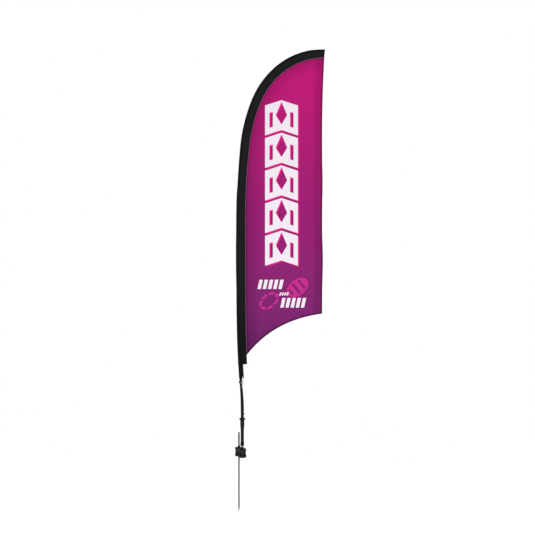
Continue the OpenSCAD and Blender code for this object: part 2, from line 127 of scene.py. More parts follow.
def makeStudio():
    scene = bpy.context.scene
    bpy.ops.object.camera_add(location=studio["camera"], rotation=(math.radians(90), 0, 0))
    scene.camera = bpy.context.object
    scene.camera.data.lens = studio["lens"]
    scene.camera.data.sensor_width = studio["sensor"]
    scene.view_settings.view_transform = "Standard"

    world = bpy.data.worlds.new("paleRoom")
    world.use_nodes = True
    tree = world.node_tree
    tree.nodes.clear()
    seen = addNode(tree, "LightPath").outputs["Is Camera Ray"]
    light = addNode(tree, "MapRange", {"To Min": studio["roomLight"], "To Max": studio["roomSeen"]},
                    {"Value": seen})
    room = addNode(tree, "Background", {"Color": (1, 1, 1, 1)}, {"Strength": light})
    addNode(tree, "OutputWorld", {}, {"Surface": room})
    scene.world = world

    back, front = studio["floorBack"], studio["floorFront"]
    place = (studio["floorMiddle"], (back + front) / 2, cadBox[0][2] - studio["floorBelow"])
    bpy.ops.mesh.primitive_plane_add(size=1, location=place)
    floor = bpy.context.object
    floor.name = "floor"
    floor.scale = (studio["floorHalf"] * 2, back - front, 1)
    bpy.ops.object.transform_apply()
    floor.data.materials.append(paleFloor())

    for name in ("keySun", "backSun"):
        way, power, spread = studio[name]
        bpy.ops.object.light_add(type="SUN", location=Vector(way) * 5)
        sun = bpy.context.object
        sun.name = name
        sun.data.energy = power
        sun.data.angle = math.radians(spread)
        sun.rotation_euler = Vector(way).to_track_quat("Z", "Y").to_euler()
    print("camera, floor and lights placed")


# what the materials are made of: colours as sRGB hex, sizes in mm

def fromHex(text):  # to the linear colour that shaders take
    channels = [int(text[i:i + 2], 16) / 255 for i in (0, 2, 4)]
    return (*[c / 12.92 if c <= 0.04045 else ((c + 0.055) / 1.055) ** 2.4 for c in channels], 1.0)


def addNode(tree, kind, settings=None, links=None):  # "stops" is a colour ramp's list of (place, hex colour)
    node = tree.nodes.new("ShaderNode" + kind)
    for key, value in (settings or {}).items():
        if key == "stops":
            band = node.color_ramp
            band.elements.remove(band.elements[-1])
            band.elements[0].position, band.elements[0].color = value[0][0], fromHex(value[0][1])
            for place, tint in value[1:]:
                band.elements.new(place).color = fromHex(tint)
        elif isinstance(key, int) or key in node.inputs:
            node.inputs[key].default_value = value
        else:
            setattr(node, key, value)
    for key, source in (links or {}).items():
        socket = source if isinstance(source, bpy.types.NodeSocket) else source.outputs[0]
        tree.links.new(socket, node.inputs[key])
    return node


def startMaterial(name):
    material = bpy.data.materials.new(name)
    material.use_nodes = True
    material.node_tree.nodes.clear()
    return material, material.node_tree


def paleFloor():
    # matt painted floor, white: no grain shows at this distance, only a faint mottling of the roller
    material, tree = startMaterial("mattWhitePaint")
    where = addNode(tree, "TexCoord").outputs["Object"]
    mottle = addNode(tree, "TexNoise", {"Scale": 3.0, "Detail": 3.0}, {"Vector": where})
    tone = addNode(tree, "ValToRGB", {"stops": [(0.3, "fdfdfd"), (0.7, "ffffff")]},
                   {"Fac": mottle.outputs["Fac"]})
    paint = addNode(tree, "BsdfPrincipled", {
        "Roughness": 0.9, "Specular IOR Level": 0.2,
        "Emission Color": (1, 1, 1, 1), "Emission Strength": 0.24,
    }, {"Base Color": tone})
    addNode(tree, "OutputMaterial", {}, {"Surface": paint})
    return material


# one maker for hard finishes: a fine grain in colour, gloss and height, drawn out along z by stretch
def hardFinish(name, dark, light, rough, grain, depth, metal=0.0, stretch=1.0, ior=1.5, coat=0.0, shine=0.5,
               wearAndHighlight=None):
    material, tree = startMaterial(name)
    where = addNode(tree, "TexCoord").outputs["Object"]
    lengthwise = addNode(tree, "Mapping", {"Scale": (1, 1, 1 / stretch)}, {"Vector": where})
    fine = addNode(tree, "TexNoise", {"Scale": 1 / (grain * mm), "Detail": 4.0, "Roughness": 0.6},
                   {"Vector": lengthwise}).outputs["Fac"]
    cloud = addNode(tree, "TexNoise", {"Scale": 28.0, "Detail": 3.0}, {"Vector": where}).outputs["Fac"]
    cloudShare = addNode(tree, "Math", {"operation": "MULTIPLY", 1: 0.55}, {0: cloud})
    both = addNode(tree, "Math", {"operation": "MULTIPLY_ADD", 1: 0.45}, {0: fine, 2: cloudShare})
    tone = addNode(tree, "ValToRGB", {"stops": [(0.32, dark), (0.68, light)]}, {"Fac": both})
    gloss = addNode(tree, "MapRange", {
        "From Min": 0.3, "From Max": 0.7, "To Min": rough[0], "To Max": rough[1],
    }, {"Value": both})
    height = addNode(tree, "Bump", {"Strength": 0.6, "Distance": depth * mm}, {"Height": fine})
    settings = {"Metallic": metal, "Coat Weight": coat, "Coat Roughness": 0.12, "Specular IOR Level": shine}
    if not metal:
        settings["IOR"] = ior
    colour = tone
    if wearAndHighlight:  # painted highlight on the rounded edges, which also stands for handled edges rubbed lighter: there the rounded normal leaves the face's own
        soft = addNode(tree, "Bevel", {"samples": 4, "Radius": 0.7 * mm})
        face = addNode(tree, "NewGeometry").outputs["Normal"]
        turn = addNode(tree, "VectorMath", {"operation": "DOT_PRODUCT"}, {0: soft, 1: face}).outputs["Value"]
        edge = addNode(tree, "MapRange", {"From Min": 0.995, "From Max": 0.9, "To Min": 0.0, "To Max": 0.5},
                       {"Value": turn})
        patchy = addNode(tree, "Math", {"operation": "MULTIPLY"}, {0: edge, 1: cloud})
        wornAndLit = addNode(tree, "Mix", {"data_type": "RGBA", 7: fromHex(wearAndHighlight)}, {0: patchy, 6: tone})
        colour = wornAndLit.outputs[2]
    surface = addNode(tree, "BsdfPrincipled", settings,
                      {"Base Color": colour, "Roughness": gloss, "Normal": height})
    addNode(tree, "OutputMaterial", {}, {"Surface": surface})
    return material


def makeHardFinishes():
    made = {}
    # bright zinc on a drawn steel rod: neutral grey, fine lines along the rod, soft broken highlights
    made["zinc_steel"] = hardFinish("zincPlatedSteel", "3d3e3e", "636463", (0.26, 0.42), 0.5, 0.02,
                                    metal=1.0, stretch=40)
    # turned and polished carbon steel: bright bands round the spindle
    made["spindle_steel"] = hardFinish("turnedSteel", "707171", "9d9e9d", (0.16, 0.28), 0.35, 0.008,
                                       metal=1.0, stretch=0.2)
    # ground bearing steel: almost a mirror
    made["bearing_steel"] = hardFinish("chromeSteel", "a2a5a8", "c3c5c8", (0.08, 0.16), 0.3, 0.004, metal=1.0)
    # black oxide on a socket screw: almost black metal with an oily sheen
    made["dark_screw"] = hardFinish("blackOxideSteel", "17181a", "2b2d30", (0.3, 0.46), 0.4, 0.02,
                                    metal=1.0, wearAndHighlight="6d7074")
    # glass-filled nylon, moulded in a spark-eroded tool: black with a violet cast and a fine matt grain
    made["block_nylon"] = hardFinish("glassFilledNylon", "040407", "0c0b12", (0.17, 0.32), 0.7, 0.05,
                                     ior=1.53, shine=0.3, wearAndHighlight="6a6878")
    # unfilled moulded nylon: black, even, with a satin sheen
    made["coupling_nylon"] = hardFinish("mouldedNylon", "060607", "0f1012", (0.28, 0.42), 0.6, 0.04,
                                        ior=1.53, shine=0.13, wearAndHighlight="202226")
    # soft moulded rubber: dull, with a faint grey bloom
    made["cap_rubber"] = hardFinish("mouldedRubber", "080808", "131314", (0.55, 0.7), 0.9, 0.06,
                                    ior=1.52, shine=0.12)
    # nitrile rubber of a shaft seal: a little oily
    made["seal_rubber"] = hardFinish("nitrileRubber", "0b0b0c", "161617", (0.5, 0.64), 0.6, 0.03, ior=1.52)
    # natural acetal: milky white, smooth and a little waxy
    made["bush_acetal"] = hardFinish("naturalAcetal", "d9d8d2", "ebeae5", (0.3, 0.42), 1.2, 0.02, ior=1.48)
    # moulded acetal of the hook: pale grey, smooth
    made["hook_acetal"] = hardFinish("greyAcetal", "c2c3c5", "e2e3e4", (0.28, 0.4), 1.0, 0.02, ior=1.48)
    # black anodised aluminium tube: satin, with extrusion lines along it
    made["black_aluminium"] = hardFinish("blackAnodisedAluminium", "070708", "0f1011", (0.3, 0.42), 0.5,
                                         0.012, stretch=60, shine=0.12, wearAndHighlight="2c2e32")
    # pultruded glass fibre under black gloss paint: straight strands show through faintly
    made["pole_fibreglass"] = hardFinish("paintedGlassFibre", "050506", "0e0f10", (0.22, 0.36), 0.6, 0.02,
                                         stretch=50, coat=0.03, shine=0.12)
    # turned aluminium sleeve: bright with fine rings
    made["ferrule_aluminium"] = hardFinish("turnedAluminium", "9c9ea1", "c0c2c4", (0.2, 0.34), 0.35, 0.01,
                                           metal=1.0, stretch=0.2)
    # nickel-plated brass eyelet: warm dark grey and polished
    made["eyelet_nickel"] = hardFinish("blackNickelBrass", "55534f", "787570", (0.14, 0.26), 0.6, 0.008,
                                       metal=1.0)
    # grey moulded nylon clip: matt, fine grain
    made["clip_plastic"] = hardFinish("greyMouldedNylon", "2e3032", "46484b", (0.34, 0.48), 0.7, 0.04,
                                      ior=1.53)
    return made


# the banner's print, in mm on the cloth, as it stands

artwork = {
    # the column of arrowheads: its middle, half its width, its foot, a block's height, how many blocks
    "columnMiddle": 335.5, "columnHalf": 129, "columnLow": 1522, "pitch": 256, "blocks": 5,
    "rise": 42, "gap": 0.085, "shadow": 9.5,
    # rows of slanted bars: left, right, low, high, count and slant
    "bars": [(147, 368, 1319, 1392, 5, 0.22), (326, 544, 1173, 1249, 5, 0.22),
             (316, 402, 1268, 1292, 4, 0.4)],
    "barWide": 0.64,
    "oval": ((462, 1332), (94, 62), 38), "ring": ((238, 1226), (88, 56), 38),  # middle, half sizes, turn
    "stripePitch": 50,
    "ground": [(0.0, "5f1a57"), (0.061, "691e60"), (0.141, "772269"), (0.26, "83216b"), (0.3, "87216f"),
               (0.38, "8d1d6d"), (0.5, "941b6d"), (0.58, "9c1b6d"), (0.886, "b71771"), (1.0, "b91772")],
    "white": "e6dee7", "pink": "c22e88", "shadowPink": "dd1d7d",
}


def allOf(tree, *masks):  # where every mask holds
    result = masks[0]
    for mask in masks[1:]:
        result = addNode(tree, "Math", {"operation": "MULTIPLY"}, {0: result, 1: mask})
    return result


def arrowColumn(tree, x, z):  # bold arrowheads one over another, each with a diamond and two slots cut out
    look = artwork
    off = addNode(tree, "Math", {"operation": "SUBTRACT", 1: look["columnMiddle"]}, {0: x})
    offSize = addNode(tree, "Math", {"operation": "ABSOLUTE"}, {0: off})
    across = addNode(tree, "Math", {"operation": "DIVIDE", 1: look["columnHalf"]}, {0: offSize})
    lifted = addNode(tree, "Math", {"operation": "MULTIPLY_ADD", 1: look["rise"]}, {0: across, 2: z})
    high = look["columnLow"] + look["pitch"] * look["blocks"]
    steps = addNode(tree, "MapRange", {
        "clamp": False, "From Min": look["columnLow"], "From Max": high, "To Max": look["blocks"],
    }, {"Value": lifted})
    cell = addNode(tree, "Math", {"operation": "FRACT"}, {0: steps})
    half = look["blocks"] / 2
    inside = addNode(tree, "Math", {"operation": "COMPARE", 1: half, 2: half}, {0: steps})
    narrow = addNode(tree, "Math", {"operation": "LESS_THAN", 1: 1.0}, {0: across})
    body = addNode(tree, "Math", {"operation": "GREATER_THAN", 1: look["gap"]}, {0: cell})
    fromCentre = addNode(tree, "Math", {"operation": "SUBTRACT", 1: 0.6}, {0: cell})
    centreSize = addNode(tree, "Math", {"operation": "ABSOLUTE"}, {0: fromCentre})
    reach = addNode(tree, "Math", {"operation": "ADD"}, {0: centreSize, 1: across})
    diamond = addNode(tree, "Math", {"operation": "GREATER_THAN", 1: 0.35}, {0: reach})
    slotSide = addNode(tree, "Math", {"operation": "COMPARE", 1: 0.63, 2: 0.105}, {0: across})
    slotHigh = addNode(tree, "Math", {"operation": "COMPARE", 1: 0.5, 2: 0.23}, {0: cell})
    slots = addNode(tree, "Math", {"operation": "SUBTRACT", 0: 1.0}, {1: allOf(tree, slotSide, slotHigh)})
    return allOf(tree, inside, narrow, body, diamond, slots)


def slantedBars(tree, x, z, left, right, low, high, count, slant):
    leaning = addNode(tree, "Math", {"operation": "MULTIPLY_ADD", 1: -slant}, {0: z, 2: x})
    steps = addNode(tree, "MapRange", {
        "clamp": False, "From Min": left - slant * low, "From Max": right - slant * high, "To Max": count,
    }, {"Value": leaning})
    cell = addNode(tree, "Math", {"operation": "FRACT"}, {0: steps})
    inside = addNode(tree, "Math", {"operation": "COMPARE", 1: count / 2, 2: count / 2}, {0: steps})
    body = addNode(tree, "Math", {"operation": "LESS_THAN", 1: artwork["barWide"]}, {0: cell})
    tall = addNode(tree, "Math", {"operation": "COMPARE", 1: (low + high) / 2, 2: (high - low) / 2}, {0: z})
    return allOf(tree, inside, body, tall)


def ovalPlace(tree, x, z, middle, size, turn):  # distance from the middle, 1 at the rim, and the place inside
    place = addNode(tree, "CombineXYZ", {}, {"X": x, "Y": z})
    local = addNode(tree, "Mapping", {
        "vector_type": "TEXTURE", "Location": (*middle, 0), "Rotation": (0, 0, math.radians(turn)),
        "Scale": (*size, 1),
    }, {"Vector": place})
    return addNode(tree, "VectorMath", {"operation": "LENGTH"}, {0: local}).outputs["Value"], local


def stripedOval(tree, x, z):
    far, local = ovalPlace(tree, x, z, *artwork["oval"])
    along = addNode(tree, "SeparateXYZ", {}, {"Vector": local}).outputs["X"]
    phase = addNode(tree, "Math", {"operation": "MULTIPLY", 1: 11.0}, {0: along})
    wave = addNode(tree, "Math", {"operation": "SINE"}, {0: phase})
    gaps = addNode(tree, "Math", {"operation": "LESS_THAN", 1: -0.35}, {0: wave})
    disc = addNode(tree, "Math", {"operation": "LESS_THAN", 1: 1.0}, {0: far})
    core = addNode(tree, "Math", {"operation": "LESS_THAN", 1: 0.8}, {0: far})
    return addNode(tree, "Math", {"operation": "SUBTRACT"}, {0: disc, 1: allOf(tree, core, gaps)})


def dashedRing(tree, x, z):
    far, local = ovalPlace(tree, x, z, *artwork["ring"])
    band = addNode(tree, "Math", {"operation": "COMPARE", 1: 0.86, 2: 0.14}, {0: far})
    around = addNode(tree, "TexGradient", {"gradient_type": "RADIAL"}, {"Vector": local}).outputs["Fac"]
    steps = addNode(tree, "Math", {"operation": "MULTIPLY", 1: 7.0}, {0: around})
    cell = addNode(tree, "Math", {"operation": "FRACT"}, {0: steps})
    dashes = addNode(tree, "Math", {"operation": "LESS_THAN", 1: 0.78}, {0: cell})
    return allOf(tree, band, dashes)


def clothGround(tree, x, z, height):  # magenta above, plum below, with slanting stripes that fade upwards
    colour = addNode(tree, "ValToRGB", {"stops": artwork["ground"]}, {"Fac": height})
    slanting = addNode(tree, "Math", {"operation": "SUBTRACT"}, {0: x, 1: z})
    turns = 2 * math.pi / artwork["stripePitch"]
    phase = addNode(tree, "Math", {"operation": "MULTIPLY", 1: turns}, {0: slanting})
    stripe = addNode(tree, "Math", {"operation": "SINE"}, {0: phase})
    depth = addNode(tree, "MapRange", {"To Min": 0.075, "To Max": 0.012}, {"Value": height})
    soft = addNode(tree, "Math", {"operation": "MULTIPLY_ADD", 2: 0.98}, {0: stripe, 1: depth})
    return addNode(tree, "VectorMath", {"operation": "SCALE"}, {0: colour, "Scale": soft}).outputs[0]


def edgeShade(tree, seam, fromEdge, height):  # darker beside the pocket and along the free edge
    low = addNode(tree, "MapRange", {"To Min": 0.38, "To Max": 0.6}, {"Value": height})
    close = addNode(tree, "MapRange", {
        "interpolation_type": "SMOOTHSTEP", "From Min": 0.001, "From Max": 0.024, "To Max": 1.0,
    }, {"Value": seam, "To Min": low})
    far = addNode(tree, "MapRange", {
        "interpolation_type": "SMOOTHSTEP", "From Min": 0.0, "From Max": 0.13, "To Min": 0.74, "To Max": 1.0,
    }, {"Value": seam})
    band = addNode(tree, "MapRange", {
        "interpolation_type": "SMOOTHSTEP", "From Min": 46.0, "From Max": 84.0, "To Min": 0.82, "To Max": 1.0,
    }, {"Value": fromEdge})
    return allOf(tree, close, far, band)


def overlockTone(tree, x, z):  # the overlocked edge's pale loops of thread, 3.4 mm apart
    along = addNode(tree, "Math", {"operation": "ADD"}, {0: x, 1: z})
    phase = addNode(tree, "Math", {"operation": "MULTIPLY", 1: 2 * math.pi / 3.4}, {0: along})
    wave = addNode(tree, "Math", {"operation": "SINE"}, {0: phase})
    share = addNode(tree, "MapRange", {"From Min": -1.0, "From Max": 1.0}, {"Value": wave})
    return addNode(tree, "ValToRGB", {"stops": [(0.1, "5c2a50"), (0.6, "8a5679")]}, {"Fac": share})


def panelPrintAndShade(tree, x, z, height, ground):
    seam = addNode(tree, "Attribute", {"attribute_name": "fromSeam"}).outputs["Fac"]
    flare = addNode(tree, "MapRange", {
        "From Min": float(banner["flareFrom"]), "From Max": float(banner["flareTo"]),
    }, {"Value": z})
    squared = addNode(tree, "Math", {"operation": "MULTIPLY"}, {0: flare, 1: flare})
    edgeX = addNode(tree, "Math", {
        "operation": "MULTIPLY_ADD", 1: float(banner["flare"]), 2: float(banner["freeEdge"]),
    }, {0: squared})
    fromEdge = addNode(tree, "Math", {"operation": "SUBTRACT"}, {0: edgeX, 1: x})
    # painted shade: a painted shadow beside the pocket, deeper lower down, and painted shade along the free
    # edge, where the cloth turns from the light
    shade = edgeShade(tree, seam, fromEdge, height)
    ground = addNode(tree, "VectorMath", {"operation": "SCALE"}, {0: ground, "Scale": shade}).outputs[0]

    shapes = addNode(tree, "Math", {"operation": "MAXIMUM"},
                     {0: stripedOval(tree, x, z), 1: dashedRing(tree, x, z)})
    pinkShare = addNode(tree, "Math", {"operation": "MULTIPLY", 1: 0.86}, {0: shapes})
    shadowX = addNode(tree, "Math", {"operation": "SUBTRACT", 1: artwork["shadow"]}, {0: x})
    shadowZ = addNode(tree, "Math", {"operation": "ADD", 1: artwork["shadow"]}, {0: z})
    white = arrowColumn(tree, x, z)
    for row in artwork["bars"]:
        white = addNode(tree, "Math", {"operation": "MAXIMUM"}, {0: white, 1: slantedBars(tree, x, z, *row)})

    felled = addNode(tree, "Math", {"operation": "LESS_THAN", 1: 4.6 * mm}, {0: seam})
    ground = addNode(tree, "Mix", {"data_type": "RGBA"}, {0: felled, 6: ground, 7: overlockTone(tree, x, z)})
    layers = ((pinkShare, "pink"), (arrowColumn(tree, shadowX, shadowZ), "shadowPink"), (white, "white"))
    for mask, tint in layers:
        settings = {"data_type": "RGBA", 7: fromHex(artwork[tint])}
        ground = addNode(tree, "Mix", settings, {0: mask, 6: ground.outputs[2]})
    return ground.outputs[2]


def printedCloth(name, paintedHemShade=False):
    # dye-printed knitted polyester flag cloth: flat, matt, a fine open knit with a faint sheen
    material, tree = startMaterial(name)
    where = addNode(tree, "TexCoord").outputs["Object"]
    inMm = addNode(tree, "VectorMath", {"operation": "SCALE", "Scale": 1000.0}, {0: where})
    split = addNode(tree, "SeparateXYZ", {}, {"Vector": inMm})
    x, z = split.outputs["X"], split.outputs["Z"]
    height = addNode(tree, "MapRange", {"From Min": 790.0, "From Max": 3150.0}, {"Value": z})
    ground = clothGround(tree, x, z, height)
    if paintedHemShade:  # painted shade: the hem's colour is darkened, as for cloth doubled and turned from the light
        ground = addNode(tree, "VectorMath", {"operation": "SCALE", "Scale": 0.4}, {0: ground}).outputs[0]
    else:
        ground = panelPrintAndShade(tree, x, z, height, ground)

    # the knit: 24 loops to the inch, drawn at 2.2 mm so that it still shows
    flat = addNode(tree, "Mapping", {"Scale": (1.0, 0.0, 0.7)}, {"Vector": where})
    loops = addNode(tree, "TexVoronoi", {"Scale": 1 / (2.2 * mm), "Randomness": 0.15}, {"Vector": flat})
    tall = addNode(tree, "Mapping", {"Scale": (1.6, 1.0, 0.45)}, {"Vector": where})
    crinkle = addNode(tree, "TexNoise", {"Scale": 9.0, "Detail": 3.0, "Roughness": 0.5}, {"Vector": tall})
    crown = loops.outputs["Distance"]
    knit = addNode(tree, "Bump", {"Strength": 0.35, "Distance": 0.25 * mm}, {"Height": crown})
    folds = addNode(tree, "Bump", {"Strength": 0.5, "Distance": 4.0 * mm},
                    {"Height": crinkle.outputs["Fac"], "Normal": knit})
    thread = addNode(tree, "MapRange", {"From Min": 0.1, "From Max": 0.7, "To Min": 1.05, "To Max": 0.92},
                     {"Value": crown})
    ground = addNode(tree, "VectorMath", {"operation": "SCALE"}, {0: ground, "Scale": thread}).outputs[0]
    cloth = addNode(tree, "BsdfPrincipled", {
        "Roughness": 0.82, "Specular IOR Level": 0.06, "Sheen Weight": 0.02, "Sheen Roughness": 0.5,
    }, {"Base Color": ground, "Normal": folds})
    addNode(tree, "OutputMaterial", {}, {"Surface": cloth})
    return material


def pocketCloth():
    # black knitted polyester over a pole: dull; painted shade darkens its outer side round the pole, a
    # painted shadow darkens it beside the seam, and it is darker towards the bottom
    material, tree = startMaterial("blackKnitPolyester")
    where = addNode(tree, "TexCoord")
    flat = where.outputs["UV"]
    across = addNode(tree, "Attribute", {"attribute_name": "across"}).outputs["Fac"]
    # painted shade and shadow across the pocket: darkest at the pole's outer side, which curves from the
    # light, and beside the seam; lightest across the flat faces
    body = addNode(tree, "ValToRGB", {
        "stops": [(0.0, "090909"), (0.16, "131414"), (0.42, "1c1e1e"), (0.8, "191b1b"), (0.97, "0e0e0e")],
    }, {"Fac": across})
    high = addNode(tree, "SeparateXYZ", {}, {"Vector": where.outputs["Object"]}).outputs["Z"]
    lift = addNode(tree, "MapRange", {
        "interpolation_type": "SMOOTHSTEP", "From Min": 0.7, "From Max": 1.6, "To Min": 0.42, "To Max": 0.95,
    }, {"Value": high})
    ribs = addNode(tree, "TexWave", {  # knit ribs along the pocket, drawn at 2.2 mm
        "bands_direction": "X", "Scale": waveScale(2.2), "Distortion": 0.6, "Detail": 1.0,
    }, {"Vector": flat})
    rows = addNode(tree, "TexWave", {
        "bands_direction": "Y", "Scale": waveScale(2.6), "Distortion": 0.4, "Detail": 1.0,
    }, {"Vector": flat})
    knit = addNode(tree, "Math", {"operation": "MULTIPLY"}, {0: ribs.outputs["Fac"], 1: rows.outputs["Fac"]})
    tone = addNode(tree, "MapRange", {"To Min": 0.8, "To Max": 1.25}, {"Value": knit})
    drawn = addNode(tree, "Mapping", {"Scale": (2.2, 0.8, 1.0)}, {"Vector": flat})
    creases = addNode(tree, "TexNoise", {"Scale": 34.0, "Detail": 3.0}, {"Vector": drawn})
    colour = addNode(tree, "VectorMath", {"operation": "SCALE"}, {0: body, "Scale": allOf(tree, lift, tone)})
    bump = addNode(tree, "Bump", {"Strength": 0.5, "Distance": 0.3 * mm}, {"Height": knit})
    folds = addNode(tree, "Bump", {"Strength": 0.6, "Distance": 2.0 * mm},
                    {"Height": creases.outputs["Fac"], "Normal": bump})
    cloth = addNode(tree, "BsdfPrincipled", {
        "Roughness": 0.85, "Specular IOR Level": 0.09, "Sheen Weight": 0.02, "Sheen Roughness": 0.4,
    }, {"Base Color": colour, "Normal": folds})
    addNode(tree, "OutputMaterial", {}, {"Surface": cloth})
    return material


def waveScale(pitch):  # the wave texture's scale for bands a pitch of so many mm apart
    return 2 / (pitch * mm * 6.28)


def wovenStrap():
    # nylon webbing: tight herringbone ribs 2.4 mm apart, slightly shiny
    material, tree = startMaterial("nylonWebbing")
    where = addNode(tree, "TexCoord").outputs["UV"]
    chevrons = addNode(tree, "TexWave", {
        "bands_direction": "DIAGONAL", "Scale": waveScale(2.4), "Distortion": 0.3,
    }, {"Vector": where}).outputs["Fac"]
    tone = addNode(tree, "ValToRGB", {"stops": [(0.1, "060607"), (0.9, "141416")]}, {"Fac": chevrons})
    bump = addNode(tree, "Bump", {"Strength": 0.6, "Distance": 0.4 * mm}, {"Height": chevrons})
    webbing = addNode(tree, "BsdfPrincipled", {"Roughness": 0.7, "Specular IOR Level": 0.05},
                      {"Base Color": tone, "Normal": bump})
    addNode(tree, "OutputMaterial", {}, {"Surface": webbing})
    return material


def braidedCord():
    # elastic in a braided polyester cover: white with grey flecks where the strands cross, 1.1 mm apart
    material, tree = startMaterial("braidedElastic")
    where = addNode(tree, "TexCoord").outputs["Object"]
    drawn = addNode(tree, "Mapping", {"Scale": (1.0, 1.0, 0.6)}, {"Vector": where})
    strands = addNode(tree, "TexVoronoi", {"Scale": 1 / (1.1 * mm), "Randomness": 0.25}, {"Vector": drawn})
    crown = strands.outputs["Distance"]
    tone = addNode(tree, "ValToRGB", {"stops": [(0.1, "f2f2f0"), (0.5, "e0e0dd"), (0.75, "a9aaa8")]},
                   {"Fac": crown})
    bump = addNode(tree, "Bump", {"Strength": 0.7, "Distance": 0.3 * mm, "invert": True}, {"Height": crown})
    braid = addNode(tree, "BsdfPrincipled", {
        "Roughness": 0.7, "Specular IOR Level": 0.3, "Sheen Weight": 0.1,
    }, {"Base Color": tone, "Normal": bump})
    addNode(tree, "OutputMaterial", {}, {"Surface": braid})
    return material


def sewingThread(name, dark, light):
    # bonded polyester thread: twisted strands, with a thin painted highlight along each twist
    material, tree = startMaterial(name)
    where = addNode(tree, "TexCoord").outputs["Object"]
    twist = addNode(tree, "TexWave", {"bands_direction": "DIAGONAL", "Scale": waveScale(0.6)},
                    {"Vector": where})
    tone = addNode(tree, "ValToRGB", {"stops": [(0.2, dark), (0.8, light)]}, {"Fac": twist.outputs["Fac"]})
    thread = addNode(tree, "BsdfPrincipled", {"Roughness": 0.5, "Specular IOR Level": 0.4},
                     {"Base Color": tone})
    addNode(tree, "OutputMaterial", {}, {"Surface": thread})
    return material


# making and finishing pieces

finishes = {}


def deselect():
    if bpy.context.object and bpy.context.object.mode != "OBJECT":
        bpy.ops.object.mode_set(mode="OBJECT")
    bpy.ops.object.select_all(action="DESELECT")


def pick(piece):
    deselect()
    piece.select_set(True)
    bpy.context.view_layer.objects.active = piece
    return piece


def newPiece(name, mesh):
    piece = bpy.data.objects.new(name, mesh)
    bpy.context.collection.objects.link(piece)
    return piece


def applyModifier(piece, kind, **settings):
    pick(piece)
    modifier = piece.modifiers.new(kind.title(), kind)
    for key, value in settings.items():
        setattr(modifier, key, value)
    bpy.ops.object.modifier_apply(modifier=modifier.name)


def finishPiece(piece, name, body, slot, *replaced, angle=38, finish=None):
    piece.name = piece.data.name = name
    pick(piece)
    bpy.ops.object.transform_apply()
    bpy.ops.object.shade_smooth_by_angle(angle=math.radians(angle))
    piece.data.materials.clear()
    piece.data.materials.append(finishes[finish or slot])
    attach(piece, body)
    if replaced:
        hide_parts(*replaced)
    return piece


def cadCopy(node):  # the CAD part's own shape, made whole so that its edges can be rounded
    piece = pick(newPiece(node, nodes[node].data.copy()))
    bpy.ops.mesh.customdata_custom_splitnormals_clear()
    bpy.ops.object.mode_set(mode="EDIT")
    bpy.ops.mesh.select_all(action="SELECT")
    bpy.ops.mesh.remove_doubles(threshold=0.02 * mm)
    bpy.ops.mesh.dissolve_limited(angle_limit=math.radians(0.6))
    bpy.ops.object.mode_set(mode="OBJECT")
    return piece


def roundEdges(piece, width, angle=28):
    applyModifier(piece, "BEVEL", width=width * mm, segments=2, limit_method="ANGLE",
                  angle_limit=math.radians(angle), use_clamp_overlap=True, harden_normals=False,
                  miter_outer="MITER_ARC")


def turnOutwards():  # in edit mode, where a closed skin's faces may point inwards
    bpy.ops.mesh.select_all(action="SELECT")
    bpy.ops.mesh.normals_make_consistent(inside=False)
    bpy.ops.object.mode_set(mode="OBJECT")


# a skin over rings of points; along and around are its own map in metres
def loft(name, rings, along, around, closed=True, capped=True):
    count = len(rings[0])
    faces, maps = [], []
    for i in range(len(rings) - 1):
        for j in range(count if closed else count - 1):
            k = (j + 1) % count
            faces.append((i * count + j, i * count + k, (i + 1) * count + k, (i + 1) * count + j))
            a, b = around[j], around[j + 1]
            maps += [(a, along[i]), (b, along[i]), (b, along[i + 1]), (a, along[i + 1])]
    if capped:
        last = (len(rings) - 1) * count
        for cap, end in ((range(count - 1, -1, -1), along[0]), (range(last, last + count), along[-1])):
            faces.append(tuple(cap))
            maps += [(around[n % count], end) for n in cap]
    mesh = bpy.data.meshes.new(name)
    mesh.from_pydata([p for ring in rings for p in ring], [], faces)
    layer = mesh.uv_layers.new(name="cloth")
    layer.data.foreach_set("uv", [value for pair in maps for value in pair])
    mesh.update()
    piece = newPiece(name, mesh)
    if capped:
        pick(piece)
        bpy.ops.object.mode_set(mode="EDIT")
        turnOutwards()
    return piece


def girthOf(ring):  # the running length round a ring, from 0 to the whole
    girth = [0.0]
    for j in range(len(ring)):
        girth.append(girth[-1] + (ring[(j + 1) % len(ring)] - ring[j]).length)
    return girth


stitch = {"long": 3.6, "wide": 0.8, "high": 0.45, "pitch": 6.4}  # mm, laid coarser than real so that it shows


def stitchAt(a, b, face):  # a stitch from a towards b; face is -1 on the front and 1 on the back
    return a, b - a, Vector((0, face, 0))


def makeStitches(name, rows, body, slot, thread):  # rows of (place, forward, up); one stitch is copied
    deselect()
    bpy.ops.mesh.primitive_cube_add(size=1, location=(0, 0, 0))
    one = bpy.context.object
    one.scale = (stitch["long"] * mm, stitch["wide"] * mm, stitch["high"] * mm)
    bpy.ops.object.transform_apply()
    for vertex in one.data.vertices:
        if vertex.co.z > 0:  # the thread's crown is narrower than its foot
            vertex.co.x *= 0.7
            vertex.co.y *= 0.5
    corners = [v.co.copy() for v in one.data.vertices]
    sides = [tuple(p.vertices) for p in one.data.polygons]
    points, faces = [], []
    for place, forward, up in rows:
        forward = forward.normalized()
        side = up.cross(forward).normalized()
        turn = Matrix((forward, side, forward.cross(side))).transposed()
        start = len(points)
        points += [turn @ corner + place for corner in corners]
        faces += [tuple(start + n for n in around) for around in sides]
    bpy.data.objects.remove(one, do_unlink=True)
    mesh = bpy.data.meshes.new(name)
    mesh.from_pydata(points, [], faces)
    mesh.update()
    return finishPiece(newPiece(name, mesh), name, body, slot, angle=20, finish=thread)


# the banner's cloth

